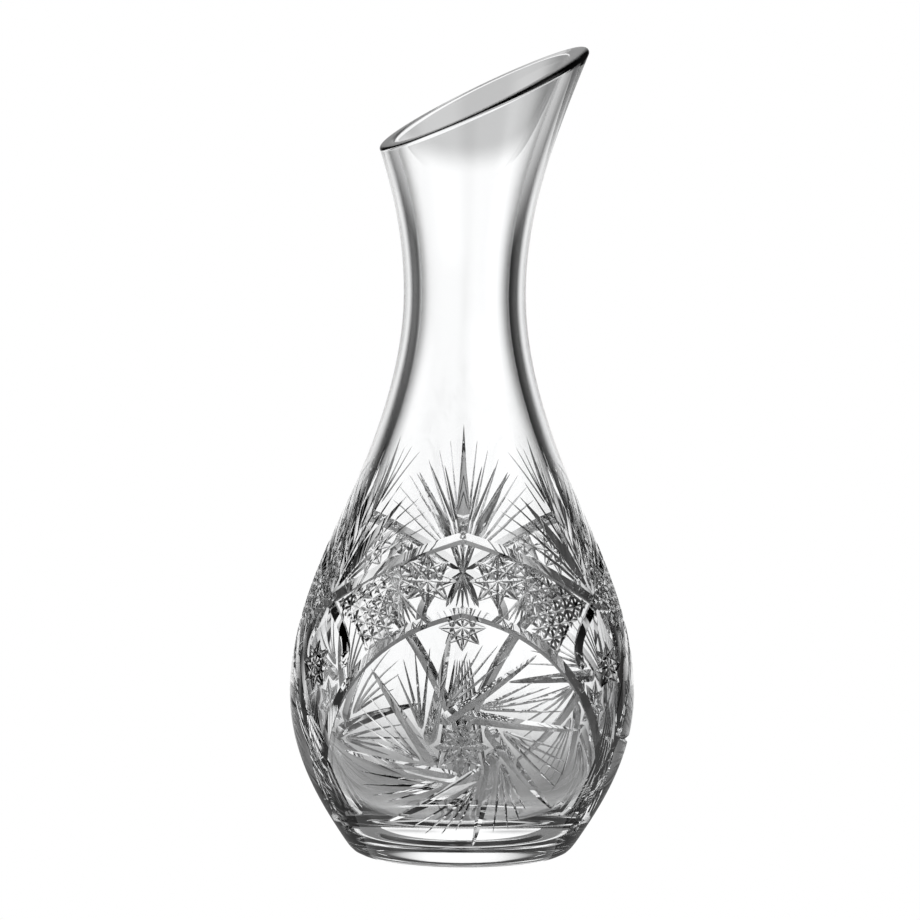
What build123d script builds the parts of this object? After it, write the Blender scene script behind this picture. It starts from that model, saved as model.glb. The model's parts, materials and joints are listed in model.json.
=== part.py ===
"""Wine decanter: one heavy blown-glass vessel with a slanted pouring mouth.

Row frame: +Z up, origin at the centre of the foot, where it meets the table.
+X points to the side of the high pouring lip. Sizes are in millimetres.

The vessel is blown, opened, ground and polished from a single gather of glass, so
it is one solid. It has no stopper: the mouth is cut on a slant and stays open.
"""

import os
from math import cos, radians, sin

from build123d import *

# ---- Outside shape, as radii and heights on the side of the vessel -------
FOOT_RADIUS = 38.1  # where the side would meet the table if its edge were sharp
FOOT_ROUND = 7.0  # rounding between the ground foot and the side
BELLY_RADIUS = 61.5
BELLY_HEIGHT = 58.0
SHOULDER_RADIUS = 42.4
SHOULDER_HEIGHT = 124.0
WAIST_RADIUS = 21.8
WAIST_HEIGHT = 201.0
LIP_RADIUS = 44.9  # of the flare at the high lip, before its edges are rounded
LIP_HEIGHT = 291.4
FOOT_LEAN = 36.0  # the side leans out from the foot, in degrees from the vertical
SHOULDER_LEAN = -24.5  # and in at the shoulder
LIP_LEAN = 22.0  # and out again at the lip

# ---- Mouth ---------------------------------------------------------------
MOUTH_SLANT = 26.1  # of the ground rim against the table, in degrees
RIM_ROUND = 1.4  # fire-polished edges of the rim

# ---- Glass thickness, square to the surface ------------------------------
BELLY_WALL = 5.6
SHOULDER_WALL = 5.6
WAIST_WALL = 6.0
LIP_WALL = 6.2
BASE_THICKNESS = 10.5  # at the centre, above the table
FLOOR_RADIUS = 30.0  # the nearly level middle of the cavity's floor
FLOOR_RISE = 1.8  # from its centre to that radius
FLOOR_LEAN = 78.0  # the floor's slope at that radius, from the vertical

# ---- Underside -----------------------------------------------------------
PUNT_RADIUS = 27.0  # shallow hollow ground into the underside
PUNT_DEPTH = 1.2

OVERRUN = 25.0  # how far the blank stands above the slanted cut, before it is cut


def climb(lean):
    """Unit vector that climbs while leaning out from the vertical by that angle."""
    return Vector(sin(radians(lean)), cos(radians(lean)))


def inside(radius, height, lean, wall):
    """The cavity's point across the wall from a point on the outside."""
    out = Vector(cos(radians(lean)), -sin(radians(lean)))
    return Vector(radius, height) - out * wall


def outside_line():
    """Outside of the blank, from the table up to the end of the flare."""
    return Spline(
        (FOOT_RADIUS, 0),
        (BELLY_RADIUS, BELLY_HEIGHT),
        (SHOULDER_RADIUS, SHOULDER_HEIGHT),
        (WAIST_RADIUS, WAIST_HEIGHT),
        (LIP_RADIUS, LIP_HEIGHT),
        tangents=[climb(a) for a in (FOOT_LEAN, 0, SHOULDER_LEAN, 0, LIP_LEAN)],
    )


def cavity_line():
    """Inside of the blank, from the middle of the floor up to the end of the flare."""
    return Spline(
        (0, BASE_THICKNESS),
        (FLOOR_RADIUS, BASE_THICKNESS + FLOOR_RISE),
        inside(BELLY_RADIUS, BELLY_HEIGHT, 0, BELLY_WALL),
        inside(SHOULDER_RADIUS, SHOULDER_HEIGHT, SHOULDER_LEAN, SHOULDER_WALL),
        inside(WAIST_RADIUS, WAIST_HEIGHT, 0, WAIST_WALL),
        inside(LIP_RADIUS, LIP_HEIGHT, LIP_LEAN, LIP_WALL),
        tangents=[climb(a) for a in (90, FLOOR_LEAN, 0, SHOULDER_LEAN, 0, LIP_LEAN)],
    )


def blank():
    """The blown blank: the wall's section turned about the upright axis."""
    outside, cavity = outside_line(), cavity_line()
    rise = climb(LIP_LEAN) * OVERRUN
    punt_top = Vector(0, PUNT_DEPTH)
    section = make_face(
        [
            cavity,
            Line(cavity @ 1, cavity @ 1 + rise),
            Line(cavity @ 1 + rise, outside @ 1 + rise),
            Line(outside @ 1 + rise, outside @ 1),
            outside,
            Line(outside @ 0, (PUNT_RADIUS, 0)),
            TangentArc(punt_top, (PUNT_RADIUS, 0), tangent=(1, 0)),
            Line(punt_top, cavity @ 0),
        ]
    )
    foot_edge = section.vertices().sort_by_distance(Vector(FOOT_RADIUS, 0))[0]
    section = fillet(foot_edge, FOOT_ROUND)
    return revolve(Plane.XZ * section, Axis.Z)


def mouth_plane():
    """The plane of the rim, square to the cut and facing out of the mouth."""
    slant = radians(MOUTH_SLANT)
    return Plane(
        origin=(LIP_RADIUS, 0, LIP_HEIGHT),
        x_dir=(cos(slant), 0, sin(slant)),
        z_dir=(-sin(slant), 0, cos(slant)),
    )


def glass_body():
    """The finished vessel: the blank cut off on a slant, with its rim polished."""
    rim = mouth_plane()
    body = split(blank(), bisect_by=rim, keep=Keep.BOTTOM)
    rim_face = body.faces().sort_by(Axis(rim.origin, rim.z_dir))[-1]
    return fillet(rim_face.edges(), RIM_ROUND)


os.makedirs("parts", exist_ok=True)
export_step(glass_body(), "parts/glass_body.step")
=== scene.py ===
"""Wine decanter in hand-cut crystal: a blown pear-shaped vessel, wheel-cut over its belly.

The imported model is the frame. Its one node, glass_body, gives the wall's section and the slanted
mouth. The vessel built here stands for that node: a finer mesh of the same wall, with every wheel
cut as real geometry. Units are metres, +Z is up, the high lip is at +X, and the first of the three
cut panels faces -Y.
"""

import json
import logging
import math
import random
from dataclasses import dataclass, field
from enum import Enum
from typing import Callable, Sequence

import bmesh
import bpy
import numpy as np
from mathutils import Matrix, Vector
from mathutils.bvhtree import BVHTree


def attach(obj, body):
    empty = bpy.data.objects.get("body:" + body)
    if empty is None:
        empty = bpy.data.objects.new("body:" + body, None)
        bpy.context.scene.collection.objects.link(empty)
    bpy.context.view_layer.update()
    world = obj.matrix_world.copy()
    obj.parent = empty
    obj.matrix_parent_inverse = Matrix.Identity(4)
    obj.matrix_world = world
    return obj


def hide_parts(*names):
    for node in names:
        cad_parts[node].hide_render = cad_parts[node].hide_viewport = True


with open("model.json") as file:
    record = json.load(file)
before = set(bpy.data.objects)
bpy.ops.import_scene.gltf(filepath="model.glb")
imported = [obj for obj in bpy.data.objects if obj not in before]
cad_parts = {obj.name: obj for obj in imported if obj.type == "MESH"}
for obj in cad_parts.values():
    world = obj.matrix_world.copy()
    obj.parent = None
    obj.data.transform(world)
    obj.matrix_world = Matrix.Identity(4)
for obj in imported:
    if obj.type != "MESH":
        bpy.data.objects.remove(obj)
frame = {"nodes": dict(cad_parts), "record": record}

LOG = logging.getLogger("decanter")
MM = 0.001
NODE = "glass_body"
HALF_PANEL = math.radians(60)
SPAN_SAMPLES = 24  # of a smooth line, between two of its knots
NORMAL_REACH = 0.4 * MM  # each way along a line, where its slope is taken


# ---------------------------------------------------------------- shader and node helpers


class Socket:
    """An output socket with Python's arithmetic: each expression adds the Math nodes it needs."""

    def __init__(self, tree: bpy.types.NodeTree, socket: bpy.types.NodeSocket) -> None:
        """Wraps one output socket of a node in that tree."""
        self.tree = tree
        self.socket = socket

    def _math(self, operation: str, *values: "Socket | float") -> "Socket":
        """Adds one Math node.

        Args:
            operation: the Math node's operation.
            values: its inputs, as sockets or numbers.

        Returns:
            The node's result.
        """
        return make(self.tree, "ShaderNodeMath", {"operation": operation}, dict(enumerate(values)))

    def __add__(self, other: "Socket | float") -> "Socket":
        """Sum."""
        return self._math("ADD", self, other)

    __radd__ = __add__

    def __sub__(self, other: "Socket | float") -> "Socket":
        """Difference."""
        return self._math("SUBTRACT", self, other)

    def __rsub__(self, other: float) -> "Socket":
        """Difference from a number."""
        return self._math("SUBTRACT", other, self)

    def __mul__(self, other: "Socket | float") -> "Socket":
        """Product."""
        return self._math("MULTIPLY", self, other)

    __rmul__ = __mul__

    def __truediv__(self, other: "Socket | float") -> "Socket":
        """Quotient."""
        return self._math("DIVIDE", self, other)

    def __abs__(self) -> "Socket":
        """Absolute value."""
        return self._math("ABSOLUTE", self)

    def larger(self, other: "Socket | float") -> "Socket":
        """The larger of two values."""
        return self._math("MAXIMUM", self, other)

    def smaller(self, other: "Socket | float") -> "Socket":
        """The smaller of two values."""
        return self._math("MINIMUM", self, other)


def make(
    tree: bpy.types.NodeTree,
    kind: str,
    settings: dict[str, object] | None = None,
    inputs: dict[int | str, object] | None = None,
    output: int | str = 0,
) -> Socket:
    """Adds a node of any kind.

    Args:
        tree: the node tree it goes in.
        kind: the node's type.
        settings: its properties, set before its sockets.
        inputs: values or sockets by input name or number.
        output: the output to return, by name or number.

    Returns:
        The chosen output.
    """
    node = tree.nodes.new(kind)
    for name, value in (settings or {}).items():
        setattr(node, name, value)
    for name, value in (inputs or {}).items():
        if isinstance(value, Socket):
            tree.links.new(value.socket, node.inputs[name])
        else:
            node.inputs[name].default_value = value
    outputs = [s for s in node.outputs if s.enabled] if isinstance(output, int) else node.outputs
    return Socket(tree, outputs[output])


def smooth_step(
    tree: bpy.types.NodeTree, value: Socket, span: Sequence[float], levels: Sequence[float]
) -> Socket:
    """A soft change between two levels.

    Args:
        tree: the node tree it goes in.
        value: what the change follows.
        span: the values at which it starts and ends.
        levels: the levels before and after it.

    Returns:
        The level.
    """
    numbers = dict(enumerate((*span, *levels), 1))
    return make(tree, "ShaderNodeMapRange", {"interpolation_type": "SMOOTHSTEP"}, {"Value": value, **numbers})


def emission(tree: bpy.types.NodeTree, kind: str, sink: str, level: Socket) -> None:
    """Ends a tree of the set in white light: at its level in the glass, and at one to the camera.

    Args:
        tree: the node tree.
        kind: the light's node type.
        sink: the output's node type.
        level: the level that the glass shows.
    """
    seen = make(tree, "ShaderNodeLightPath", output="Is Camera Ray")
    white = make(tree, kind, None, {"Color": (1, 1, 1, 1), "Strength": level + seen * (1.0 - level)})
    tree.links.new(white.socket, tree.nodes.new(sink).inputs[0])


# ---------------------------------------------------------------- finishes


@dataclass(frozen=True)
class Crystal:
    """Clear lead crystal with a fine unevenness of its surface.

    Clarity is what passes through the surface, by colour. The relief's scale is in bumps a metre.
    """

    name: str
    clarity: tuple[float, float, float]
    relief_scale: float
    relief_detail: float
    relief_height: float
    relief_strength: float = 0.5
    refraction: float = 1.545
    view_alpha: float = 0.35

    def material(self) -> bpy.types.Material:
        """Builds the finish as a material.

        Returns:
            The material.
        """
        material = bpy.data.materials.new(self.name)
        material.use_nodes = True
        material.diffuse_color = (*self.clarity, self.view_alpha)
        tree = material.node_tree
        shader = tree.nodes["Principled BSDF"]
        shader.inputs["Base Color"].default_value = (*self.clarity, 1.0)
        shader.inputs["Transmission Weight"].default_value = 1.0
        shader.inputs["IOR"].default_value = self.refraction
        place = make(tree, "ShaderNodeTexCoord", output="Object")
        relief = self.noise(tree, place, self.relief_scale, self.relief_detail)
        bump = {"Height": relief, "Distance": self.relief_height, "Strength": self.relief_strength}
        tree.links.new(make(tree, "ShaderNodeBump", inputs=bump).socket, shader.inputs["Normal"])
        tree.links.new(self.roughness(tree, place, relief).socket, shader.inputs["Roughness"])
        return material

    @staticmethod
    def noise(tree: bpy.types.NodeTree, place: Socket, scale: float, detail: float) -> Socket:
        """Noise on the piece's own coordinates."""
        return make(tree, "ShaderNodeTexNoise", inputs={"Vector": place, "Scale": scale, "Detail": detail})

    def roughness(self, tree: bpy.types.NodeTree, place: Socket, relief: Socket) -> Socket:
        """The finish's roughness over the surface."""
        raise NotImplementedError


@dataclass(frozen=True)
class PolishedCrystal(Crystal):
    """The vessel's fire-polished skin: clear, a little wavy as blown glass is, worn at the foot."""

    name: str = "crystal_polished"
    clarity: tuple[float, float, float] = (0.985, 0.988, 0.99)
    relief_scale: float = 34.0
    relief_detail: float = 1.0
    relief_height: float = 0.012 * MM
    scuff_scale: float = 900.0
    scuff_detail: float = 3.0
    foot_wear_height: float = 0.6 * MM
    foot_wear_roughness: float = 0.16

    def roughness(self, tree: bpy.types.NodeTree, place: Socket, relief: Socket) -> Socket:
        """Fine scuffs on the part that stands on the table.

        Args:
            tree: the material's node tree.
            place: the piece's own coordinates.
            relief: the surface's relief.

        Returns:
            The roughness.
        """
        height = make(tree, "ShaderNodeSeparateXYZ", inputs={0: place}, output="Z")
        wear = {"Value": height, 1: 0.0, 2: self.foot_wear_height, 3: self.foot_wear_roughness, 4: 0.0}
        at_foot = make(tree, "ShaderNodeMapRange", inputs=wear)
        return at_foot * self.noise(tree, place, self.scuff_scale, self.scuff_detail)


@dataclass(frozen=True)
class CutCrystal(Crystal):
    """The facets left by the wheel and polished in acid: clear, with faint wheel marks."""

    name: str = "crystal_cut"
    clarity: tuple[float, float, float] = (0.975, 0.98, 0.982)
    relief_scale: float = 420.0
    relief_detail: float = 2.0
    relief_height: float = 0.004 * MM
    mark_roughness: float = 0.02

    def roughness(self, tree: bpy.types.NodeTree, place: Socket, relief: Socket) -> Socket:
        """A trace of roughness in the wheel marks."""
        return relief * self.mark_roughness


# ---------------------------------------------------------------- the glass wall's section


@dataclass(frozen=True)
class WallLine:
    """One side of the wall's section: a smooth line of radius and height, by length along it."""

    length: np.ndarray
    radius: np.ndarray
    height: np.ndarray

    @classmethod
    def through(cls, knots: np.ndarray, first: int = 0, overrun: float = 12 * MM) -> "WallLine":
        """A smooth line through points of radius and height.

        Args:
            knots: the points in order, one per row.
            first: the knot where the line starts; those before it only steer it.
            overrun: how far it goes straight on past its last point.

        Returns:
            The line, finely sampled.
        """
        knots = np.vstack([knots, knots[-1] + unit(knots[-1] - knots[-2]) * overrun])
        chord = np.concatenate([[0.0], np.cumsum(np.linalg.norm(np.diff(knots, axis=0), axis=1))])
        slope = np.gradient(knots, chord, axis=0)
        points = []
        for i in range(first, len(knots) - 1):
            span = chord[i + 1] - chord[i]
            t = np.linspace(0.0, 1.0, SPAN_SAMPLES, endpoint=False)[:, None]
            points.append(
                (2 * t**3 - 3 * t**2 + 1) * knots[i]
                + (t**3 - 2 * t**2 + t) * span * slope[i]
                + (3 * t**2 - 2 * t**3) * knots[i + 1]
                + (t**3 - t**2) * span * slope[i + 1]
            )
        line = np.vstack([*points, knots[-1:]])
        length = np.concatenate([[0.0], np.cumsum(np.linalg.norm(np.diff(line, axis=0), axis=1))])
        return cls(length, line[:, 0], line[:, 1])

    def at(self, length: np.ndarray | float) -> tuple[np.ndarray, np.ndarray]:
        """Radius and height at a length along the line."""
        return np.interp(length, self.length, self.radius), np.interp(length, self.length, self.height)

    def along(self, height: np.ndarray | float) -> np.ndarray:
        """Length along the line at a height, on a line that climbs all the way."""
        return np.interp(height, self.height, self.length)

    def normal(self, length: np.ndarray | float) -> tuple[np.ndarray, np.ndarray]:
        """The radial and upright parts of the unit normal on the line's right, seen going up.

        Args:
            length: where along the line.

        Returns:
            The radial part and the upright part.
        """
        r0, z0 = self.at(np.asarray(length) - NORMAL_REACH)
        r1, z1 = self.at(np.asarray(length) + NORMAL_REACH)
        size = np.hypot(r1 - r0, z1 - z0)
        return (z1 - z0) / size, -(r1 - r0) / size


def unit(vectors: np.ndarray) -> np.ndarray:
    """Vectors scaled to length one along their last axis."""
    return vectors / np.maximum(np.linalg.norm(vectors, axis=-1, keepdims=True), 1e-12)


def read(
    items: bpy.types.bpy_prop_collection, name: str, width: int = 1, kind: type = np.float32
) -> np.ndarray:
    """One value of every item of a mesh.

    Args:
        items: the mesh's vertices, loops or polygons.
        name: the value's name.
        width: how many numbers it has.
        kind: their type.

    Returns:
        One row for each item, or one number.
    """
    values = np.empty(len(items) * width, dtype=kind)
    items.foreach_get(name, values)
    return values.reshape(-1, width) if width > 1 else values


@dataclass(frozen=True)
class SeamLimits:
    """What counts as the plain wall when the section is read off the frame's mesh at +X.

    The section's plane has y = 0. Heights are above the table, clearances below the rim's plane.
    """

    off_plane: float = 0.02 * MM
    axis_clearance: float = 1.0 * MM
    foot_height: float = 0.01 * MM
    probe_height: float = 100 * MM
    probe_step: float = 0.5 * MM
    probe_offset: float = 0.01 * MM
    probe_drift: float = 0.013
    outer_clearance: float = 2.4 * MM
    inner_clearance: float = 0.3 * MM
    floor_share: float = 0.9
    punt_share: float = 2.0


@dataclass
class GlassWall:
    """The vessel's wall as the frame has it: its section's two lines, its underside and its mouth."""

    outside: WallLine
    inside: WallLine
    foot_inner: float
    punt_depth: float
    mouth_point: Vector
    mouth_axis: Vector

    @classmethod
    def of_frame(cls, cad: bpy.types.Object, mounts: list[dict]) -> "GlassWall":
        """Reads the wall from the frame's mesh and the mouth from the record's mount.

        Args:
            cad: the frame's vessel.
            mounts: the record's mounts.

        Returns:
            The wall.
        """
        limits = SeamLimits()
        mesh = cad.data
        points = read(mesh.vertices, "co", 3, float)
        tree = BVHTree.FromPolygons(points.tolist(), [tuple(p.vertices) for p in mesh.polygons])
        seam = points[(np.abs(points[:, 1]) < limits.off_plane) & (points[:, 0] > limits.axis_clearance)]
        seam = np.unique(seam.round(6), axis=0)[:, [0, 2]]
        mouth = next(m for m in mounts if m["name"] == "mouth")
        point, axis = Vector(mouth["pos_m"]), Vector(mouth["axis"]).normalized()
        rim_gap = (seam[:, 0] - point.x) * axis.x + (seam[:, 1] - point.z) * axis.z
        foot_inner = seam[seam[:, 1] < limits.foot_height, 0].min()
        inner_floor = tree.ray_cast(Vector((0, 0, limits.probe_height)), Vector((0, 0, -1)))[0].z
        punt = tree.ray_cast(Vector((0, 0, -1)), Vector((0, 0, 1)))[0].z
        look = Vector((1, limits.probe_drift, 0)).normalized()
        starts = [Vector((r + limits.probe_step, limits.probe_offset, z)) for r, z in seam]
        buried = np.array([tree.ray_cast(start, look)[0] is not None for start in starts])
        on_side = seam[:, 0] > foot_inner + limits.axis_clearance
        on_side |= seam[:, 1] > punt * limits.punt_share
        on_wall = seam[:, 1] > inner_floor * limits.floor_share
        outer = seam[~buried & (rim_gap < -limits.outer_clearance) & on_side]
        inner = seam[buried & (rim_gap < -limits.inner_clearance) & on_wall]
        outer = outer[np.argsort(outer[:, 1])]
        inner = inner[np.argsort(inner[:, 1])]
        mirrored = inner[:2][::-1] * np.array([-1.0, 1.0])
        inner = np.vstack([mirrored, [[0.0, inner_floor]], inner])
        lines = WallLine.through(outer), WallLine.through(inner, first=len(mirrored))
        return cls(*lines, foot_inner, punt, point, axis)

    def rim_gap(self, radius: np.ndarray, height: np.ndarray, azimuth: float) -> np.ndarray:
        """Signed distance of points from the plane of the rim, at an azimuth from +X."""
        across = (radius * math.cos(azimuth) - self.mouth_point.x) * self.mouth_axis.x
        return across + (height - self.mouth_point.z) * self.mouth_axis.z

    def meets_rim(self, line: WallLine, azimuth: float) -> float:
        """Length along a line of the section at which it meets the plane of the rim.

        Args:
            line: one side of the section.
            azimuth: where, from +X.

        Returns:
            The length along the line.
        """
        gap = self.rim_gap(line.radius, line.height, azimuth)
        last = int(np.nonzero(gap < 0)[0][-1])
        share = gap[last] / (gap[last] - gap[last + 1])
        return float(line.length[last] + share * (line.length[last + 1] - line.length[last]))


@dataclass
class Blank:
    """The uncut vessel as one closed quad mesh, with a ground foot and a polished slanted rim."""

    wall: GlassWall
    columns: int = 144
    outer_step: float = 2.1 * MM
    inner_step: float = 3.6 * MM
    slanted_from: float = 222 * MM
    slanted_rings: int = 18
    rim_round: float = 1.4 * MM
    rim_support: float = 0.2 * MM
    round_steps: int = 6
    punt_rings: int = 8

    def rim_corner(self, line: WallLine, azimuth: float, towards: float) -> tuple[float, np.ndarray]:
        """The rounding between one side of the wall and the ground rim, in section.

        Args:
            line: the side's line.
            azimuth: where, from +X.
            towards: -1 where the rim runs inwards from this side, 1 where it runs outwards.

        Returns:
            The length along the line where the rounding starts, and the rounding's points.
        """
        meet = self.wall.meets_rim(line, azimuth)
        corner = np.array(line.at(meet))
        down = unit(np.array(line.at(meet - 2 * MM)) - corner)
        slope = -math.cos(azimuth) * self.wall.mouth_axis.x / self.wall.mouth_axis.z
        across = unit(np.array([towards, towards * slope]))
        half = 0.5 * math.acos(float(np.clip(down @ across, -1, 1)))
        setback = self.rim_round / math.tan(half)
        centre = corner + unit(down + across) * self.rim_round / math.sin(half)
        start, end = corner + down * setback - centre, corner + across * setback - centre
        turn = math.acos(float(np.clip(unit(start) @ unit(end), -1, 1)))
        steps = np.linspace(0, 1, self.round_steps + 1)[:, None]
        arc = (np.sin((1 - steps) * turn) * start + np.sin(steps * turn) * end) / math.sin(turn)
        return meet - setback, centre + arc

    def section(self, azimuth: float) -> np.ndarray:
        """The wall's closed section at an azimuth, as rows of radius and height.

        It runs from the punt's centre out over the foot, up the outside, across the rim and down
        the inside to the floor's centre, without those two poles.

        Args:
            azimuth: where, from +X.

        Returns:
            The section's points.
        """
        wall = self.wall
        outer_start, outer_round = self.rim_corner(wall.outside, azimuth, -1)
        inner_start, inner_round = self.rim_corner(wall.inside, azimuth, 1)
        share = np.arange(1, self.punt_rings + 1) / self.punt_rings
        punt = np.column_stack([share * wall.foot_inner, wall.punt_depth * (1 - share**2)])
        outer_level = wall.outside.along(self.slanted_from)
        inner_level = wall.inside.along(self.slanted_from)
        outer = np.concatenate(
            [
                np.linspace(0, outer_level, round(outer_level / self.outer_step), endpoint=False),
                np.linspace(outer_level, outer_start, self.slanted_rings, endpoint=False),
                [outer_start - self.rim_support],
            ]
        )
        inner = np.concatenate(
            [
                [inner_start - self.rim_support],
                np.linspace(inner_start, inner_level, self.slanted_rings)[1:],
                np.linspace(inner_level, 0, round(inner_level / self.inner_step))[1:-1],
            ]
        )
        return np.vstack(
            [
                punt,
                np.column_stack(wall.outside.at(outer)),
                outer_round,
                0.5 * (outer_round[-1:] + inner_round[-1:]),
                inner_round[::-1],
                np.column_stack(wall.inside.at(inner)),
            ]
        )

    def mesh(self, name: str) -> bpy.types.Mesh:
        """Turns the sections into a closed mesh with a pole at the punt and one on the floor.

        Args:
            name: the mesh's name.

        Returns:
            The mesh.
        """
        turns = 2 * math.pi * np.arange(self.columns) / self.columns
        rings = np.stack([self.section(a) for a in turns], axis=1)
        x = rings[:, :, 0] * np.cos(turns)
        y = rings[:, :, 0] * np.sin(turns)
        points = np.stack([x, y, rings[:, :, 1]], axis=-1).reshape(-1, 3)
        poles = [[0, 0, self.wall.punt_depth], [0, 0, float(self.wall.inside.height[0])]]
        points = np.vstack([points, poles])
        count, n = rings.shape[0], self.columns
        faces: list[tuple[int, ...]] = []
        for i in range(count - 1):
            for j in range(n):
                k = (j + 1) % n
                faces.append((i * n + j, i * n + k, (i + 1) * n + k, (i + 1) * n + j))
        bottom, floor, last = count * n, count * n + 1, (count - 1) * n
        for j in range(n):
            k = (j + 1) % n
            faces.append((bottom, k, j))
            faces.append((floor, last + j, last + k))
        mesh = bpy.data.meshes.new(name)
        mesh.from_pydata(points.tolist(), [], faces)
        mesh.shade_smooth()
        return mesh


# ---------------------------------------------------------------- wheel cuts


class CutShape(Enum):
    """How deep a cut is along its length, from 0 to 1 of its full depth.

    A value holds the shares of the length over which the wheel enters and leaves, then the powers
    of the rise and the fall. A leaf and a band are even, so they use their first share and power.
    """

    LEAF = (0.5, 0.5, 0.7, 0.7)
    TAIL = (0.08, 1.0, 0.5, 0.55)
    FLAME = (0.3, 0.7, 0.6, 0.9)
    BAND = (0.02, 0.02, 0.5, 0.5)

    def profile(self, t: np.ndarray) -> np.ndarray:
        """Depth at shares t of the cut's length.

        Args:
            t: the shares.

        Returns:
            The depth at each, from 0 to 1.
        """
        enter, leave, rise, fall = self.value
        if self is CutShape.LEAF:
            return np.clip(4 * t * (1 - t), 0, 1) ** rise
        if self is CutShape.BAND:
            return np.clip(np.minimum(t, 1 - t) / enter, 0, 1) ** rise
        return np.clip(t / enter, 0, 1) ** rise * np.clip((1 - t) / leave, 0, 1) ** fall


@dataclass(frozen=True)
class Patch:
    """A flat drawing laid on the vessel's side, centred at an angle and a height.

    A drawing point (x, y) goes x to the side, as seen square on, and y up along the surface.
    """

    wall: WallLine
    turn: float
    height: float

    def lay(self, drawing: np.ndarray) -> np.ndarray:
        """Angle round the vessel and length up its side, for rows of x and y.

        Args:
            drawing: drawing points, one per row.

        Returns:
            Rows of angle and length.
        """
        length = self.wall.along(self.height) + drawing[:, 1]
        radius = self.wall.at(length)[0]
        return np.column_stack([self.turn + np.arcsin(np.clip(drawing[:, 0] / radius, -1, 1)), length])

    def lift(self, spots: np.ndarray) -> np.ndarray:
        """Drawing points x and y, for rows of angle and length.

        Args:
            spots: places on the wall, one per row.

        Returns:
            Rows of x and y.
        """
        radius = self.wall.at(spots[:, 1])[0]
        y = spots[:, 1] - self.wall.along(self.height)
        return np.column_stack([radius * np.sin(spots[:, 0] - self.turn), y])


@dataclass
class Engraver:
    """Collects the wheel cuts of one panel, as paths on the outside with depth and cutting angle."""

    wall: WallLine
    hand: random.Random = field(default_factory=lambda: random.Random(7))
    station: float = 2.6 * MM
    runout: float = -0.06 * MM
    fewest_stations: int = 6
    wobble: float = 0.12 * MM
    laid_points: int = 12
    points: list[np.ndarray] = field(default_factory=list)
    normals: list[np.ndarray] = field(default_factory=list)
    sides: list[np.ndarray] = field(default_factory=list)
    depths: list[np.ndarray] = field(default_factory=list)
    spreads: list[np.ndarray] = field(default_factory=list)

    def cut(self, spots: np.ndarray, shape: CutShape, width: float, angle: float) -> None:
        """Adds one cut.

        Args:
            spots: its path, as rows of angle round the vessel and length up its side.
            shape: how its depth runs.
            width: its greatest width at the surface.
            angle: the wheel's edge angle, in degrees.
        """
        flat = np.column_stack([spots[:, 0] * self.wall.at(spots[:, 1])[0], spots[:, 1]])
        run = np.concatenate([[0.0], np.cumsum(np.linalg.norm(np.diff(flat, axis=0), axis=1))])
        count = max(self.fewest_stations, math.ceil(run[-1] / self.station) + 1)
        t = 0.5 - 0.5 * np.cos(np.linspace(0, math.pi, count))
        t = 0.5 * t + 0.5 * np.linspace(0, 1, count)
        turn = np.interp(t * run[-1], run, spots[:, 0])
        length = np.interp(t * run[-1], run, spots[:, 1])
        radius, height = self.wall.at(length)
        out, up = self.wall.normal(length)
        points = np.column_stack([radius * np.sin(turn), -radius * np.cos(turn), height])
        normals = unit(np.column_stack([out * np.sin(turn), -out * np.cos(turn), up]))
        forward = unit(np.gradient(points, axis=0))
        spread = math.tan(math.radians(angle) / 2)
        depth = shape.profile(t) * width / 2 / spread
        depth[[0, -1]] = self.runout
        self.points.append(points)
        self.normals.append(normals)
        self.sides.append(unit(np.cross(normals, forward)))
        self.depths.append(depth)
        self.spreads.append(np.full(count, spread))

    def straight(
        self,
        patch: Patch,
        start: Sequence[float],
        end: Sequence[float],
        shape: CutShape,
        width: float,
        angle: float = 86.0,
    ) -> None:
        """Adds a straight cut between two drawing points of a patch, by a slightly unsteady hand.

        Args:
            patch: the drawing it belongs to.
            start: its first drawing point.
            end: its last one.
            shape: how its depth runs.
            width: its greatest width at the surface.
            angle: the wheel's edge angle, in degrees.
        """
        reach = self.wobble
        jitter = np.array([[self.hand.uniform(-reach, reach) for _ in range(2)] for _ in range(2)])
        share = np.linspace(0, 1, self.laid_points)[:, None]
        ends = np.array([start, end]) + jitter
        self.cut(patch.lay(ends[0] * (1 - share) + ends[1] * share), shape, width, angle)

    def paths(self, name: str) -> bpy.types.Object:
        """All cuts as one object of loose paths, with a point attribute for each of their values.

        Args:
            name: the object's name.

        Returns:
            The object, not yet in the scene.
        """
        mesh = bpy.data.meshes.new(name)
        edges, first = [], 0
        for points in self.points:
            edges += [(first + i, first + i + 1) for i in range(len(points) - 1)]
            first += len(points)
        mesh.from_pydata(np.vstack(self.points).tolist(), edges, [])
        for label, kind, values in (
            ("out", "FLOAT_VECTOR", np.vstack(self.normals)),
            ("side", "FLOAT_VECTOR", np.vstack(self.sides)),
            ("depth", "FLOAT", np.concatenate(self.depths)),
            ("spread", "FLOAT", np.concatenate(self.spreads)),
        ):
            layer = mesh.attributes.new(label, kind, "POINT")
            layer.data.foreach_set("vector" if kind == "FLOAT_VECTOR" else "value", values.ravel())
        return bpy.data.objects.new(name, mesh)


def polar(radius: float, degrees: float) -> np.ndarray:
    """A drawing point at a distance and an angle from the drawing's centre."""
    return np.array([radius * math.cos(math.radians(degrees)), radius * math.sin(math.radians(degrees))])


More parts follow.
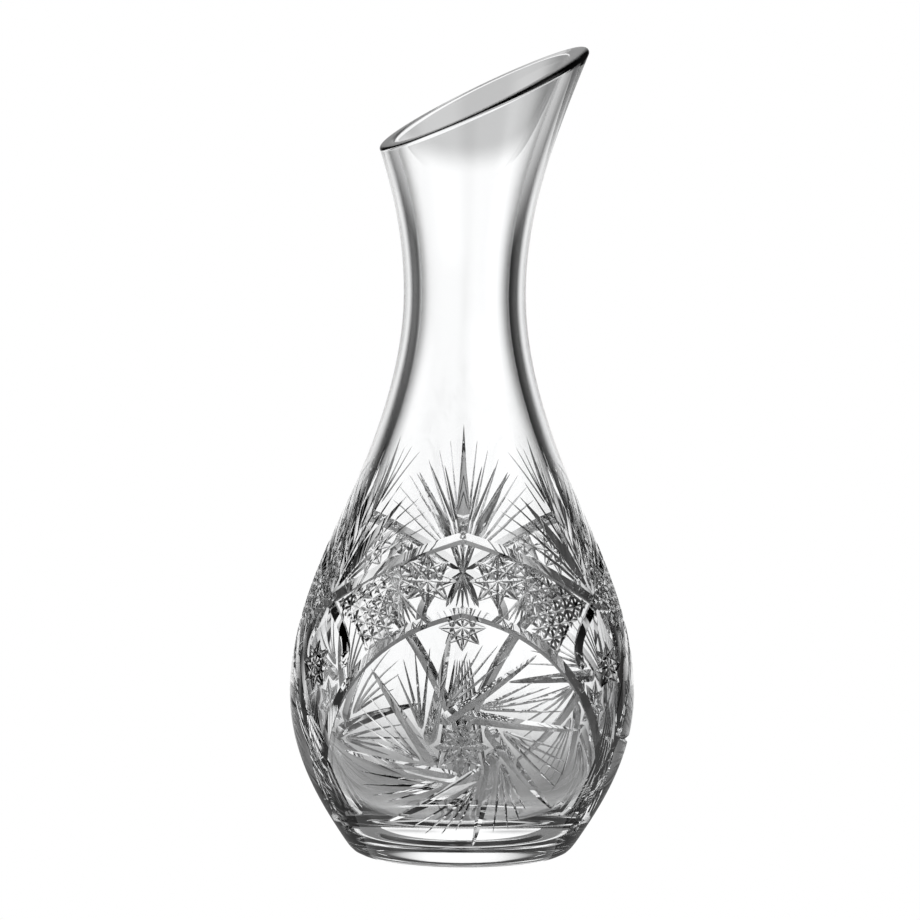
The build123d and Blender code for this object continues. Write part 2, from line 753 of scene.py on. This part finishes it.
@dataclass(frozen=True)
class Star:
    """An eight-pointed star: long diameters and the chords of its {8/3} figure."""

    radius: float
    ray_width: float = 1.6 * MM
    chord_width: float = 1.2 * MM
    points: int = 8
    skip: int = 3
    tilt: float = 90.0

    def engrave(self, tool: Engraver, patch: Patch, centre: Sequence[float] = (0.0, 0.0)) -> None:
        """Cuts the star round a drawing point of a patch.

        Args:
            tool: the engraver that takes the cuts.
            patch: the drawing it belongs to.
            centre: its middle.
        """
        middle = np.array(centre)
        step = 360.0 / self.points
        for k in range(self.points):
            tip = middle + polar(self.radius, self.tilt + k * step)
            far = middle + polar(self.radius, self.tilt + (k + self.skip) * step)
            tool.straight(patch, tip, far, CutShape.LEAF, self.chord_width)
            tool.straight(patch, middle, tip, CutShape.LEAF, self.ray_width)


@dataclass(frozen=True)
class Pinwheel:
    """The whirling star of a panel: eight straight blades round a star, with fans of thin cuts between.

    A blade runs from the inner radius, a lead angle ahead, out to its tip. A fan's cuts spread from
    one root between two blades. Angles are in degrees.
    """

    height: float = 47.5 * MM
    blades: int = 8
    first_blade: float = 95.5
    outer_radius: float = 42.0 * MM
    inner_radius: float = 11.8 * MM
    inner_lead: float = 83.0
    blade_width: float = 5.5 * MM
    blade_angle: float = 103.0
    fan_root_radius: float = 15.5 * MM
    fan_root_lead: float = 61.0
    fan_leads: tuple[float, ...] = (12.0, 20.0, 28.0, 36.0)
    fan_radii: tuple[float, ...] = (38 * MM, 39 * MM, 38 * MM, 35 * MM)
    fan_width: float = 1.5 * MM
    star: Star = Star(10.2 * MM, ray_width=2.2 * MM)

    def engrave(self, tool: Engraver) -> None:
        """Cuts the pinwheel at the middle of the panel.

        Args:
            tool: the engraver that takes the cuts.
        """
        patch = Patch(tool.wall, 0.0, self.height)
        for k in range(self.blades):
            lead = self.first_blade - k * 360.0 / self.blades
            root = polar(self.fan_root_radius, lead + self.fan_root_lead)
            for turn, radius in zip(self.fan_leads, self.fan_radii):
                tool.straight(patch, root, polar(radius, lead + turn), CutShape.TAIL, self.fan_width)
            inner = polar(self.inner_radius, lead + self.inner_lead)
            tip = polar(self.outer_radius, lead)
            tool.straight(patch, inner, tip, CutShape.TAIL, self.blade_width, self.blade_angle)
        self.star.engrave(tool, patch)


@dataclass(frozen=True)
class MitreLine:
    """Half of a pointed arch, drawn beside the panel's middle as two arcs that run into each other."""

    radius: float
    centre: tuple[float, float]
    turn: float
    foot_radius: float
    foot_end: float
    overlap: float = 1.2
    upper_points: int = 50
    lower_points: int = 30

    def foot_centre(self) -> np.ndarray:
        """The centre of the lower arc, which starts in line with the upper one."""
        return np.array(self.centre) + polar(self.radius - self.foot_radius, self.turn)

    def half(self, side: int) -> np.ndarray:
        """The line on one side, from just past its apex to its foot, as drawing points.

        Args:
            side: -1 for the left, 1 for the right.

        Returns:
            The line's drawing points.
        """
        top = math.degrees(math.acos(-self.centre[0] / self.radius)) + self.overlap
        sweep = np.linspace(top, self.turn, self.upper_points)
        upper = [np.array(self.centre) + polar(self.radius, a) for a in sweep]
        turns = np.linspace(self.turn, self.foot_end, self.lower_points)[1:]
        lower = [self.foot_centre() + polar(self.foot_radius, a) for a in turns]
        return np.array(upper + lower) * np.array([side, 1.0])

    def outside_by(self, drawing: np.ndarray) -> np.ndarray:
        """How far drawing points on the right side lie outside the line.

        Args:
            drawing: drawing points, one per row.

        Returns:
            The distance of each, negative inside.
        """
        start = self.centre[1] + self.radius * math.sin(math.radians(self.turn))
        upper = np.linalg.norm(drawing - self.centre, axis=1) - self.radius
        lower = np.linalg.norm(drawing - self.foot_centre(), axis=1) - self.foot_radius
        return np.where(drawing[:, 1] > start, upper, lower)


@dataclass(frozen=True)
class Arches:
    """The two deep mitre lines of a panel: the ring round the pinwheel and the gothic arch over it."""

    pinwheel: Pinwheel
    ring: MitreLine = MitreLine(60.0 * MM, (-11.0 * MM, -10.5 * MM), 0.0, 44.0 * MM, -42.0)
    arch: MitreLine = MitreLine(119.7 * MM, (-35.1 * MM, -38.8 * MM), 45.8, 32.0 * MM, 2.0)
    width: float = 4.3 * MM
    angle: float = 100.0

    def engrave(self, tool: Engraver) -> None:
        """Cuts the ring and the arch, each in two halves.

        Args:
            tool: the engraver that takes the cuts.
        """
        patch = Patch(tool.wall, 0.0, self.pinwheel.height)
        for side in (-1, 1):
            for line in (self.ring, self.arch):
                tool.cut(patch.lay(line.half(side)), CutShape.BAND, self.width, self.angle)

    def between(self, wall: WallLine, spots: np.ndarray, gap: float) -> np.ndarray:
        """Whether spots lie above the ring, under the arch and clear of the next panel's arch.

        Args:
            wall: the outside of the wall.
            spots: rows of angle and length.
            gap: how clear of each line they have to be.

        Returns:
            A mask of the spots.
        """
        patch = Patch(wall, 0.0, self.pinwheel.height)
        here = patch.lift(spots)
        there = patch.lift(np.column_stack([2 * HALF_PANEL - spots[:, 0], spots[:, 1]]))
        inside = (self.ring.outside_by(here) > gap) & (self.arch.outside_by(here) < -gap)
        return inside & (self.arch.outside_by(there) > gap) & (spots[:, 0] < HALF_PANEL)


@dataclass(frozen=True)
class HatchField:
    """A field of small stars: four sets of parallel cuts that meet in common crossings.

    The field starts at an angle round the vessel and keeps a gap from the mitre lines.
    """

    arches: Arches
    turn: float = math.radians(43)
    height: float = 90.0 * MM
    tilt: float = 5.0
    pitch: float = 4.5 * MM
    reach: float = 24.0 * MM
    width: float = 1.25 * MM
    angle: float = 82.0
    gap: float = 1.5 * MM
    starts_at: float = math.radians(25.5)
    sample: float = 0.25 * MM
    shortest: float = 2.0 * MM

    def engrave(self, tool: Engraver, side: int) -> None:
        """Cuts the field on one side of the panel.

        Args:
            tool: the engraver that takes the cuts.
            side: -1 for the left, 1 for the right.
        """
        patch = Patch(tool.wall, self.turn, self.height)
        for family, pitch in ((0, self.pitch), (90, self.pitch), (45, None), (135, None)):
            spacing = pitch or self.pitch / math.sqrt(2)
            along = polar(1.0, family + self.tilt)
            across = np.array([-along[1], along[0]])
            for k in range(-int(self.reach / spacing), int(self.reach / spacing) + 1):
                reach = np.arange(-self.reach, self.reach, self.sample)[:, None]
                spots = patch.lay(across * spacing * k + along * reach)
                inside = self.arches.between(tool.wall, spots, self.gap) & (spots[:, 0] > self.starts_at)
                for run in runs(inside):
                    if (run[1] - run[0]) * self.sample > self.shortest:
                        piece = spots[run[0] : run[1]] * np.array([side, 1.0])
                        tool.cut(piece, CutShape.BAND, self.width, self.angle)


def runs(mask: np.ndarray) -> list[tuple[int, int]]:
    """The stretches where a mask is true, each as its first place and the one after its last."""
    edges = np.flatnonzero(np.diff(np.concatenate([[0], mask.astype(int), [0]])))
    return [(int(a), int(b)) for a, b in zip(edges[::2], edges[1::2])]


@dataclass(frozen=True)
class Spray:
    """A sheaf of cuts that rise from one root: leaves and thin lines at angles from upright."""

    turn: float
    root_height: float
    leaves: tuple[tuple[float, float, float], ...]
    lines: tuple[tuple[float, float, float], ...]
    leaf_width: float = 4.6 * MM
    leaf_angle: float = 104.0
    line_width: float = 1.35 * MM

    def engrave(self, tool: Engraver) -> None:
        """Cuts the sheaf; each row is an angle, a start and an end distance from the root.

        Args:
            tool: the engraver that takes the cuts.
        """
        patch = Patch(tool.wall, self.turn, self.root_height)
        for angle, near, far in self.lines:
            start, end = polar(near, 90 - angle), polar(far, 90 - angle)
            tool.straight(patch, start, end, CutShape.TAIL, self.line_width)
        for angle, near, far in self.leaves:
            start, end = polar(near, 90 - angle), polar(far, 90 - angle)
            tool.straight(patch, start, end, CutShape.FLAME, self.leaf_width, self.leaf_angle)


def both_sides(start: float, rows: Sequence[tuple[float, float]]) -> tuple[tuple[float, float, float], ...]:
    """A sheaf's rows on both sides of upright.

    Args:
        start: where they all start, in millimetres from the root.
        rows: an angle and an end in millimetres from the root, for each.

    Returns:
        Rows of angle, start and end, the left side first.
    """
    return tuple((side * angle, start * MM, far * MM) for side in (-1, 1) for angle, far in rows)


@dataclass(frozen=True)
class Panel:
    """One third of the belly's decoration, in the order in which it is cut.

    A divider's row is its middle across and up, its lean and its half length. A fringe row is an
    angle from straight down and an end. Lengths in rows are in millimetres, angles in degrees.
    """

    wall: WallLine
    band_star: Star = Star(10.4 * MM, ray_width=1.5 * MM)
    band_star_place: tuple[float, float] = (12.4 * MM, 59.6 * MM)
    dividers: tuple[tuple[float, float, float, float], ...] = (
        (0, 62, 0, 12.5),
        (-22.5, 54.5, 22, 12),
        (22.5, 54.5, -22, 12),
    )
    divider_fan: tuple[float, ...] = (-22, -11, 0, 11, 22)
    divider_width: float = 1.3 * MM
    sprays: tuple[Spray, ...] = (
        Spray(
            turn=0.0,
            root_height=118.0 * MM,
            leaves=((0.0, 0.5 * MM, 34.8 * MM),),
            lines=both_sides(8, ((13, 30), (22, 31), (33, 31))),
            leaf_width=5.6 * MM,
        ),
        Spray(
            turn=HALF_PANEL,
            root_height=95.5 * MM,
            leaves=((0.0, 3.0 * MM, 60.0 * MM), *both_sides(5.0, ((24.0, 45.5),))),
            lines=both_sides(10, ((6, 54), (11.5, 51), (17.5, 49), (29, 47), (36, 45), (43, 43))),
            leaf_width=5.0 * MM,
        ),
    )
    junction_height: float = 72.0 * MM
    junction_star: Star = Star(9.6 * MM, ray_width=1.5 * MM)
    fringe: tuple[tuple[float, float], ...] = (
        (-12, 58),
        (-8, 60),
        (-4, 62),
        (0, 63),
        (4, 62),
        (8, 60),
        (12, 58),
    )
    fringe_start: float = 12 * MM
    fringe_gather: float = 0.8
    fringe_width: float = 1.6 * MM
    tie_top: tuple[float, float] = (0.8 * MM, 22 * MM)
    tie_foot: tuple[float, float] = (6.5 * MM, 8 * MM)
    tie_width: float = 2.4 * MM

    def engrave(self, tool: Engraver) -> None:
        """Cuts the whole panel.

        Args:
            tool: the engraver that takes the cuts.
        """
        pinwheel = Pinwheel()
        arches = Arches(pinwheel)
        pinwheel.engrave(tool)
        arches.engrave(tool)
        for side in (-1, 1):
            HatchField(arches).engrave(tool, side)
        self.band(tool, pinwheel)
        for spray in self.sprays:
            spray.engrave(tool)
        self.junction(tool)

    def band(self, tool: Engraver, pinwheel: Pinwheel) -> None:
        """The stars and sheaf-like dividers between the ring and the arch.

        Args:
            tool: the engraver that takes the cuts.
            pinwheel: the pinwheel that the band runs over.
        """
        patch = Patch(self.wall, 0.0, pinwheel.height)
        across, up = self.band_star_place
        for side in (-1, 1):
            self.band_star.engrave(tool, patch, (side * across, up))
        for x, y, lean, half in self.dividers:
            middle = np.array([x * MM, y * MM])
            for fan in self.divider_fan:
                arm = polar(half * MM, 90 + lean + fan)
                tool.straight(patch, middle - arm, middle + arm, CutShape.LEAF, self.divider_width)

    def junction(self, tool: Engraver) -> None:
        """The star below each crossing and the long cuts from it to the foot.

        Args:
            tool: the engraver that takes the cuts.
        """
        patch = Patch(self.wall, HALF_PANEL, self.junction_height)
        self.junction_star.engrave(tool, patch)
        for angle, far in self.fringe:
            start = polar(self.fringe_start, -90 + angle)
            end = polar(far * MM, -90 + angle * self.fringe_gather)
            tool.straight(patch, start, end, CutShape.LEAF, self.fringe_width)
        for side in (-1, 1):
            top, foot = ((side * x, y) for x, y in (self.tie_top, self.tie_foot))
            tool.straight(patch, top, foot, CutShape.LEAF, self.tie_width)


# ---------------------------------------------------------------- the cutting tree


@dataclass(frozen=True)
class CuttingWheel:
    """The geometry tree that turns paths into wedges, repeats them round the vessel and cuts."""

    name: str = "wheel_cutting"
    lift: float = 0.7 * MM
    panels: int = 3

    def tree(self) -> bpy.types.NodeTree:
        """Builds the tree with its named inputs.

        Returns:
            The node group.
        """
        tree = bpy.data.node_groups.new(self.name, "GeometryNodeTree")
        face = tree.interface
        face.new_socket("Geometry", in_out="OUTPUT", socket_type="NodeSocketGeometry")
        for label, kind in (
            ("Vessel", "Geometry"),
            ("Cut Paths", "Object"),
            ("Wedge Lift", "Float"),
            ("Panels", "Int"),
            ("Polished", "Material"),
            ("Cut", "Material"),
        ):
            face.new_socket(label, in_out="INPUT", socket_type="NodeSocket" + kind)
        source = tree.nodes.new("NodeGroupInput")
        given = {s.name: Socket(tree, s) for s in source.outputs if s.name}
        islands = make(tree, "GeometryNodeInputMeshIsland")
        wedges = {"Geometry": self.wedges(tree, given), "Group ID": islands}
        one_by_one = make(tree, "GeometryNodeSplitToInstances", {"domain": "FACE"}, wedges)
        body = {"Geometry": given["Vessel"], "Material": given["Polished"]}
        parts = {
            "Mesh 1": make(tree, "GeometryNodeSetMaterial", None, body),
            "Mesh 2": self.repeated(tree, given, one_by_one),
        }
        difference = {"operation": "DIFFERENCE", "solver": "MANIFOLD"}
        cut = make(tree, "GeometryNodeMeshBoolean", difference, parts)
        whole = make(tree, "GeometryNodeRealizeInstances", None, {"Geometry": cut})
        facet = self.named(tree, "facet", "BOOLEAN")
        facets = {"Geometry": whole, "Selection": facet, "Material": given["Cut"]}
        dressed = make(tree, "GeometryNodeSetMaterial", None, facets)
        tree.links.new(dressed.socket, tree.nodes.new("NodeGroupOutput").inputs[0])
        return tree

    @staticmethod
    def named(tree: bpy.types.NodeTree, label: str, kind: str) -> Socket:
        """Reads a named attribute."""
        return make(tree, "GeometryNodeInputNamedAttribute", {"data_type": kind}, {"Name": label})

    @staticmethod
    def stored(
        tree: bpy.types.NodeTree,
        geometry: Socket,
        label: str,
        kind: str,
        value: object,
        domain: str = "POINT",
    ) -> Socket:
        """Stores a named attribute.

        Args:
            tree: the node tree.
            geometry: what it is stored on.
            label: its name.
            kind: its data type.
            value: its value, as a socket or a constant.
            domain: where it lives.

        Returns:
            The geometry with the attribute.
        """
        inputs = {"Geometry": geometry, "Name": label, "Value": value}
        return make(tree, "GeometryNodeStoreNamedAttribute", {"data_type": kind, "domain": domain}, inputs)

    def wedges(self, tree: bpy.types.NodeTree, given: dict[str, Socket]) -> Socket:
        """Sweeps a three-cornered section along every path: one corner deep, two above the glass.

        Args:
            tree: the node tree.
            given: its inputs by name.

        Returns:
            All wedges as one mesh, with their faces marked as facets.
        """
        paths = make(tree, "GeometryNodeObjectInfo", None, {"Object": given["Cut Paths"]}, "Geometry")
        curves = make(tree, "GeometryNodeMeshToCurve", None, {"Mesh": paths})
        place = make(tree, "GeometryNodeInputPosition")
        centre = self.stored(tree, curves, "centre", "FLOAT_VECTOR", place)
        ring = make(tree, "GeometryNodeCurvePrimitiveCircle", {"mode": "RADIUS"}, {"Resolution": 3})
        corner = self.stored(tree, ring, "corner", "FLOAT", make(tree, "GeometryNodeInputIndex"))
        sweep = {"Curve": centre, "Profile Curve": corner, "Fill Caps": True}
        swept = make(tree, "GeometryNodeCurveToMesh", None, sweep)
        number, depth, spread = (self.named(tree, label, "FLOAT") for label in ("corner", "depth", "spread"))
        centre, out, side = (self.named(tree, label, "FLOAT_VECTOR") for label in ("centre", "out", "side"))
        is_top = number.smaller(1.0)
        hand = is_top * (3.0 - number * 2.0)
        reach = given["Wedge Lift"] + depth
        moved = centre
        for direction, distance in ((out, is_top * reach - depth), (side, hand * spread * reach)):
            scaled = {"Vector": direction, "Scale": distance}
            offset = make(tree, "ShaderNodeVectorMath", {"operation": "SCALE"}, scaled)
            moved = make(tree, "ShaderNodeVectorMath", {"operation": "ADD"}, {0: moved, 1: offset})
        placed = make(tree, "GeometryNodeSetPosition", None, {"Geometry": swept, "Position": moved})
        return self.stored(tree, placed, "facet", "BOOLEAN", True, "FACE")

    def repeated(self, tree: bpy.types.NodeTree, given: dict[str, Socket], panel: Socket) -> Socket:
        """Copies a panel's wedges round the upright axis, once for each panel.

        Args:
            tree: the node tree.
            given: its inputs by name.
            panel: one panel's wedges, each an instance.

        Returns:
            Every panel's wedges, each still an instance, which is what the cutting needs.
        """
        row = {"Count": given["Panels"], "Offset": (0.0, 0.0, 0.0)}
        spots = make(tree, "GeometryNodeMeshLine", {"mode": "OFFSET"}, row)
        angle = make(tree, "GeometryNodeInputIndex") * (2 * math.pi) / given["Panels"]
        turn = make(tree, "ShaderNodeCombineXYZ", None, {"Z": angle})
        round_about = {"Points": spots, "Instance": panel, "Rotation": turn}
        copies = make(tree, "GeometryNodeInstanceOnPoints", None, round_about)
        one_level = {"Geometry": copies, "Realize All": False, "Depth": 1}
        return make(tree, "GeometryNodeRealizeInstances", None, one_level)


# ---------------------------------------------------------------- the vessel


@dataclass
class CutVessel:
    """The finished decanter: the blown blank with its cuts, as one closed mesh."""

    wall: GlassWall
    name: str = "decanter_vessel"
    wheel: CuttingWheel = CuttingWheel()
    weld: float = 0.0005 * MM
    sharp_angle: float = math.radians(24)
    skin_depth: float = 0.5 * MM
    skin_heights: tuple[float, float] = (4 * MM, 235 * MM)

    def build(self) -> bpy.types.Object:
        """Makes the blank, cuts it and gives it its finishes and normals.

        Returns:
            The finished piece.
        """
        polished, cut = PolishedCrystal().material(), CutCrystal().material()
        tool = Engraver(self.wall.outside)
        Panel(self.wall.outside).engrave(tool)
        LOG.info("wheel cuts in one panel: %d", len(tool.points))
        paths = tool.paths("cut_paths")
        bpy.context.scene.collection.objects.link(paths)
        vessel = bpy.data.objects.new(self.name, Blank(self.wall).mesh(self.name))
        bpy.context.scene.collection.objects.link(vessel)
        modifier = vessel.modifiers.new("cutting", "NODES")
        modifier.node_group = self.wheel.tree()
        keys = {s.name: s.identifier for s in modifier.node_group.interface.items_tree if s.in_out == "INPUT"}
        for label, value in (
            ("Cut Paths", paths),
            ("Wedge Lift", self.wheel.lift),
            ("Panels", self.wheel.panels),
            ("Polished", polished),
            ("Cut", cut),
        ):
            modifier[keys[label]] = value
        graph = bpy.context.evaluated_depsgraph_get()
        mesh = bpy.data.meshes.new_from_object(vessel.evaluated_get(graph))
        vessel.modifiers.clear()
        vessel.data = mesh
        mesh.name = self.name
        bpy.data.objects.remove(paths)
        self.close_slivers(mesh)
        self.set_normals(mesh)
        return vessel

    def close_slivers(self, mesh: bpy.types.Mesh) -> None:
        """Welds corners that the cutting left on top of each other, and drops folded-up slivers.

        Args:
            mesh: the cut mesh.
        """
        shape = bmesh.new()
        shape.from_mesh(mesh)
        bmesh.ops.remove_doubles(shape, verts=shape.verts, dist=self.weld)
        bmesh.ops.triangulate(shape, faces=shape.faces[:])
        shape.verts.index_update()
        twins: dict[frozenset[int], list[bmesh.types.BMFace]] = {}
        for face in shape.faces:
            twins.setdefault(frozenset(corner.index for corner in face.verts), []).append(face)
        folded = [face for faces in twins.values() if len(faces) > 1 for face in faces]
        bmesh.ops.delete(shape, geom=folded, context="FACES")
        shape.to_mesh(mesh)
        shape.free()

    def set_normals(self, mesh: bpy.types.Mesh) -> None:
        """Keeps facets crisp and gives the polished outside the wall's own exact normals.

        Args:
            mesh: the cut mesh.
        """
        mesh.shade_smooth()
        mesh.set_sharp_from_angle(angle=self.sharp_angle)
        corners = read(mesh.corner_normals, "vector", 3)
        kinds = read(mesh.polygons, "material_index", kind=np.int32)
        polished = np.repeat(kinds == 0, read(mesh.polygons, "loop_total", kind=np.int32))
        points = read(mesh.vertices, "co", 3)[read(mesh.loops, "vertex_index", kind=np.int32)]
        radius = np.maximum(np.hypot(points[:, 0], points[:, 1]), 1e-9)
        line = self.wall.outside
        length = line.along(points[:, 2])
        near = np.abs(radius - line.at(length)[0]) < self.skin_depth
        low, high = self.skin_heights
        out, up = line.normal(length)
        exact = np.column_stack([out * points[:, 0] / radius, out * points[:, 1] / radius, up])
        chosen = polished & near & (points[:, 2] > low) & (points[:, 2] < high)
        corners[chosen] = exact[chosen]
        mesh.normals_split_custom_set(corners.tolist())


# ---------------------------------------------------------------- studio


@dataclass(frozen=True)
class LightPanel:
    """A tall light in the world: its bearing as a looking direction, its width and strength."""

    azimuth: float
    half_width: float
    softness: float
    strength: float


@dataclass
class Studio:
    """The set and the camera.

    The camera sees plain white. The glass shows a set of its own, which the camera doesn't see:
    broad soft lights with dark flags between them, a sheet that glows with painted table shade
    and a backdrop that glows with painted shade above its soft lower edge.
    """

    elevation: float = math.radians(8.6)
    distance: float = 9.0
    frame_height: float = 328.1 * MM
    aim: Vector = field(default_factory=lambda: Vector((-1.3 * MM, 0.0, 141.5 * MM)))
    roll: float = math.radians(0.42)
    sensor: float = 36.0
    floor_half: float = 9.0
    # painted shade: the table sheet, which only the glass sees, glows dark close by the vessel and brighter
    # further off
    painted_shade_level: float = 0.19
    shade_begin: float = -20 * MM
    shade_from: float = 50 * MM
    shade_to: float = 400 * MM
    shade_half_widths: tuple[float, float] = (70 * MM, 290 * MM)
    # painted shade: the backdrop sheet, which only the glass sees, glows dimmer above its soft lower edge
    backdrop_distance: float = 150 * MM
    backdrop_top: float = 420 * MM
    backdrop_edge: float = 231 * MM
    backdrop_softness: float = 6 * MM
    backdrop_painted_shade: float = 0.54
    light_panels: tuple[LightPanel, ...] = (
        LightPanel(0.0, 23.5, 13.5, 1.1),
        LightPanel(90.0, 24.0, 12.0, 1.05),
        LightPanel(225.0, 36.0, 14.0, 1.05),
    )
    ceiling: float = 42.0
    ceiling_softness: float = 26.0
    zenith_level: float = 0.15
    table_edge: float = -19.0
    table_softness: float = 6.0
    table_level: float = 0.62
    flag_level: float = 0.03
    far_clip: float = 40.0
    sheet_drop: float = 0.05 * MM

    def camera(self) -> None:
        """Places a long lens at the viewing angle, square to the panel."""
        data = bpy.data.cameras.new("camera")
        data.sensor_width = self.sensor
        data.lens = self.sensor * self.distance / self.frame_height
        data.clip_end = self.far_clip
        view = bpy.data.objects.new("camera", data)
        back = Vector((0, -math.cos(self.elevation), math.sin(self.elevation)))
        turn = Matrix.Rotation(math.pi / 2 - self.elevation, 4, "X") @ Matrix.Rotation(self.roll, 4, "Z")
        view.matrix_world = Matrix.Translation(self.aim + back * self.distance) @ turn
        bpy.context.scene.collection.objects.link(view)
        bpy.context.scene.camera = view

    def sheet(self, name: str, corners: list[tuple[float, float, float]]) -> bpy.types.Object:
        """A flat sheet of the set, without its finish.

        Args:
            name: its name.
            corners: its four corners, in order.

        Returns:
            The sheet.
        """
        mesh = bpy.data.meshes.new(name)
        mesh.from_pydata(corners, [], [(0, 1, 2, 3)])
        sheet = bpy.data.objects.new(name, mesh)
        bpy.context.scene.collection.objects.link(sheet)
        sheet.visible_diffuse = False
        sheet.visible_shadow = False
        return sheet

    def glow(self, sheet: bpy.types.Object, level_in: Callable[[bpy.types.NodeTree], Socket]) -> None:
        """Gives a sheet light of its own.

        Args:
            sheet: the sheet.
            level_in: builds its level in the glass, in a node tree.
        """
        material = bpy.data.materials.new(sheet.name + "_light")
        material.use_nodes = True
        tree = material.node_tree
        tree.nodes.clear()
        emission(tree, "ShaderNodeEmission", "ShaderNodeOutputMaterial", level_in(tree))
        sheet.data.materials.append(material)

    def floor(self) -> bpy.types.Object:
        """A white table for the camera. In its place the glass shows the sheet of painted shade and the world
        below.

        Returns:
            The floor.
        """
        half = self.floor_half
        floor = self.sheet("floor", [(-half, -half, 0), (half, -half, 0), (half, half, 0), (-half, half, 0)])
        floor.visible_transmission = False
        floor.visible_glossy = False
        self.glow(floor, lambda tree: make(tree, "ShaderNodeValue"))
        return floor

    def shade(self) -> bpy.types.Object:
        """A glowing sheet for the table behind the vessel as the glass shows it: painted shade close by,
        painted light further off.

        Returns:
            The sheet.
        """
        near, far = self.shade_begin, self.shade_to
        begin, finish = self.shade_half_widths
        corners = [(-begin, near), (begin, near), (finish, far), (-finish, far)]
        shade = self.sheet("table_shade", [(x, y, -self.sheet_drop) for x, y in corners])
        shade.visible_camera = False

        def level(tree: bpy.types.NodeTree) -> Socket:
            """The sheet's glow, by distance and bearing: painted shade close by, painted light further off.

            Args:
                tree: the sheet's node tree.

            Returns:
                The level.
            """
            place = make(tree, "ShaderNodeTexCoord", output="Object")
            away = make(tree, "ShaderNodeSeparateXYZ", inputs={0: place}, output="Y")
            # painted light: with distance the glow rises from the painted shade level to the set's light at
            # that bearing
            lit = smooth_step(tree, away, (self.shade_from, self.shade_to), (0.0, 1.0))
            return self.painted_shade_level + lit * (self.bearing_light(tree, place) - self.painted_shade_level)

        self.glow(shade, level)
        return shade

    def backdrop(self) -> bpy.types.Object:
        """A glowing sheet, as of paper, behind the mouth: painted shade above its soft lower edge.

        Returns:
            The sheet.
        """
        y, edge, soft, top = (
            self.backdrop_distance,
            self.backdrop_edge,
            self.backdrop_softness,
            self.backdrop_top,
        )
        low = edge - soft
        drop = self.sheet("backdrop", [(-y, y, low), (y, y, low), (y, y, top), (-y, y, top)])
        drop.visible_camera = False

        def level(tree: bpy.types.NodeTree) -> Socket:
            """The sheet's glow, by height and bearing: painted shade above its soft lower edge.

            Args:
                tree: the sheet's node tree.

            Returns:
                The level.
            """
            place = make(tree, "ShaderNodeTexCoord", output="Object")
            height = make(tree, "ShaderNodeSeparateXYZ", inputs={0: place}, output="Z")
            # painted shade: above the soft lower edge the glow drops to a share of the set's light
            dim = smooth_step(tree, height, (edge - soft, edge + soft), (1.0, self.backdrop_painted_shade))
            return dim * self.bearing_light(tree, place)

        self.glow(drop, level)
        return drop

    def bearing_light(self, tree: bpy.types.NodeTree, direction: Socket) -> Socket:
        """How bright the set is towards a direction, by its bearing alone.

        Args:
            tree: the node tree.
            direction: the direction.

        Returns:
            The brightest light there, or the dark flags' level.
        """
        x, y = (make(tree, "ShaderNodeSeparateXYZ", inputs={0: direction}, output=i) for i in range(2))
        azimuth = make(tree, "ShaderNodeMath", {"operation": "ARCTAN2"}, {0: x * -1.0, 1: y})
        lit: Socket | None = None
        for panel in self.light_panels:
            turn = {0: azimuth - math.radians(panel.azimuth), 1: math.pi, 2: -math.pi}
            away = abs(make(tree, "ShaderNodeMath", {"operation": "WRAP"}, turn))
            lobe = self.fade(tree, away, panel.half_width, panel.softness) * panel.strength
            lit = lobe if lit is None else lit.larger(lobe)
        return lit.larger(self.flag_level)

    def world(self) -> None:
        """A bright-field set: light behind the glass and to its sides, dark flags between."""
        world = bpy.data.worlds.new("studio")
        world.use_nodes = True
        tree = world.node_tree
        tree.nodes.clear()
        ray = make(tree, "ShaderNodeTexCoord", output="Generated")
        z = make(tree, "ShaderNodeSeparateXYZ", inputs={0: ray}, output="Z")
        rise = make(tree, "ShaderNodeMath", {"operation": "ARCSINE"}, {0: z})
        overhead = self.fade(tree, rise, self.ceiling, self.ceiling_softness)
        dim = overhead * (1.0 - self.zenith_level) + self.zenith_level
        below = self.fade(tree, rise, self.table_edge, self.table_softness) * self.table_level
        level = (self.bearing_light(tree, ray) * dim).larger(below)
        emission(tree, "ShaderNodeBackground", "ShaderNodeOutputWorld", level)
        bpy.context.scene.world = world

    @staticmethod
    def fade(tree: bpy.types.NodeTree, angle: Socket, edge: float, softness: float) -> Socket:
        """One below an angle, nothing above it, with a soft edge.

        Args:
            tree: the node tree.
            angle: the angle, in radians.
            edge: where the fade is half done, in degrees.
            softness: half the fade's width, in degrees.

        Returns:
            The faded level.
        """
        span = (math.radians(edge - softness), math.radians(edge + softness))
        return smooth_step(tree, angle, span, (1.0, 0.0))


def main() -> None:
    """Builds the vessel and its studio in order, and reports each piece."""
    logging.basicConfig(level=logging.INFO, format="%(name)s: %(message)s")
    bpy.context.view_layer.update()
    cad = frame["nodes"][NODE]
    wall = GlassWall.of_frame(cad, frame["record"]["mounts"])
    vessel = CutVessel(wall).build()
    faces = len(vessel.data.polygons)
    triangles = sum(len(p.vertices) - 2 for p in vessel.data.polygons)
    LOG.info("%s: %d faces, %d triangles", vessel.name, faces, triangles)
    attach(vessel, "root")
    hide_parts(NODE)
    studio = Studio()
    studio.floor()
    studio.shade()
    studio.backdrop()
    studio.world()
    studio.camera()
    bpy.context.scene.view_settings.view_transform = "Standard"


if __name__ == "__main__":
    main()
